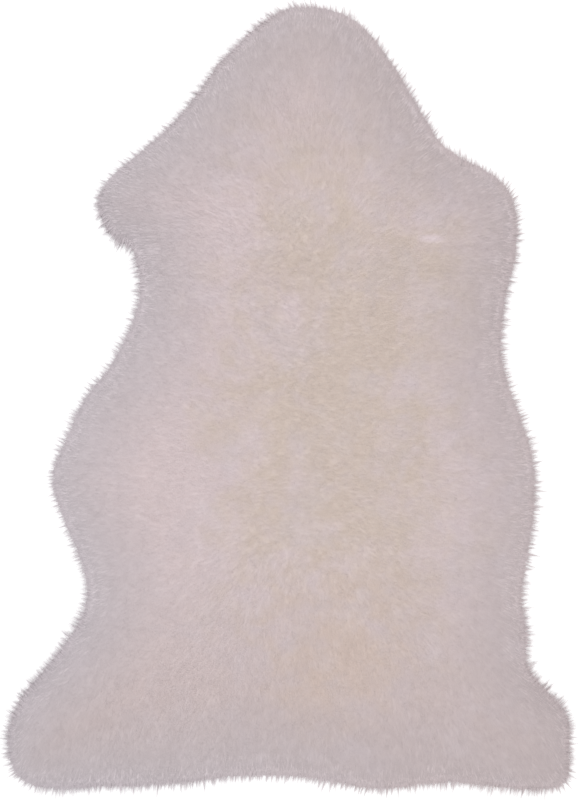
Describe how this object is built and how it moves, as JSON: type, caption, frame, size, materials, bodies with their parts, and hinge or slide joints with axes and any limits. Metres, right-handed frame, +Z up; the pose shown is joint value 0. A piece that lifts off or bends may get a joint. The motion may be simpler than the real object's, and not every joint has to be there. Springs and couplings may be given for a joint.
{
  "type": "sheepskin rug",
  "caption": "Single sheepskin rug lying flat: dense, soft plush wool on a thin tanned skin, in the natural pelt outline with neck and legs, and loose locks round the rim.",
  "frame": {"origin": "on the floor, under the middle of the rug's box", "axes": "+Z up from the floor, wool side up; +Y towards the neck, along the rug's length; +X to the right as seen from above with the neck away from the viewer"},
  "size_m": [0.6882, 0.9556, 0.0431],
  "materials": {
    "wool": "soft matt wool, pale pinkish beige"
  },
  "bodies": {
    "root": {"pelt": "wool"}
  },
  "joints": []
}
